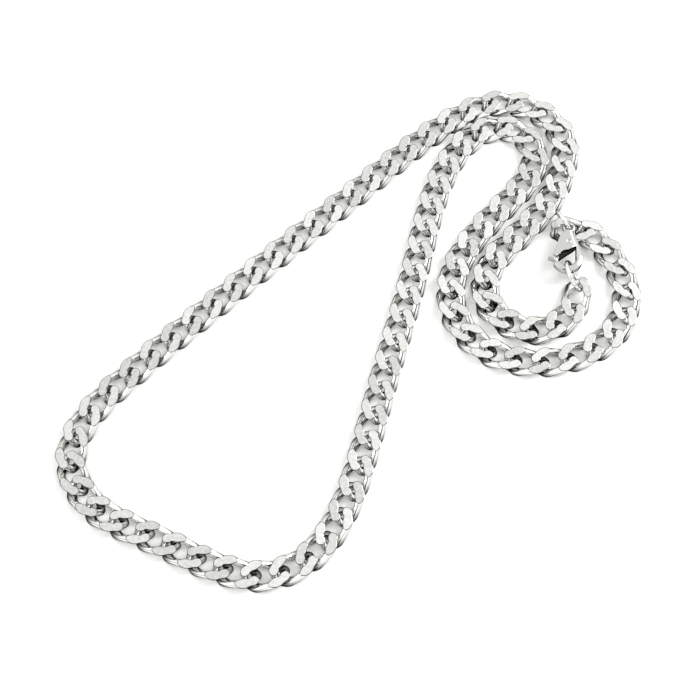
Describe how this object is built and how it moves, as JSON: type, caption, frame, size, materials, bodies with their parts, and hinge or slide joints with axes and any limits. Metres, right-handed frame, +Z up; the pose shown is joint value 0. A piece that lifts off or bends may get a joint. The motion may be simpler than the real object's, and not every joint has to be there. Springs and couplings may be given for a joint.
{
  "type": "curb chain necklace with lobster clasp",
  "caption": "Flat polished curb chain necklace lying in an open double loop, closed by a lobster clasp and two round end rings.",
  "frame": {"origin": "middle of the lay seen from above, on the surface that the chain lies on", "axes": "+X to the picture's right, +Y away from the camera along the surface, +Z up from the surface"},
  "size_m": [0.133, 0.1302, 0.0072],
  "materials": {
    "steel": "mirror polished with ground flats",
    "clasp_steel": "polished"
  },
  "bodies": {
    "necklace": {"chain_lower": "steel", "chain_upper": "steel", "clasp_body": "clasp_steel", "hook_ring": "clasp_steel", "eye_ring": "clasp_steel"},
    "lever": {"clasp_lever": "clasp_steel"}
  },
  "joints": [
    {"name": "lever_hinge", "type": "hinge", "parent": "necklace", "child": "lever", "pos_m": [0.0501, 0.01902, 0.00372], "axis": [0, 0, 1], "range_deg": [0, 12], "stiffness_Nm_per_rad": 0.01, "springref_deg": -5.73}
  ]
}
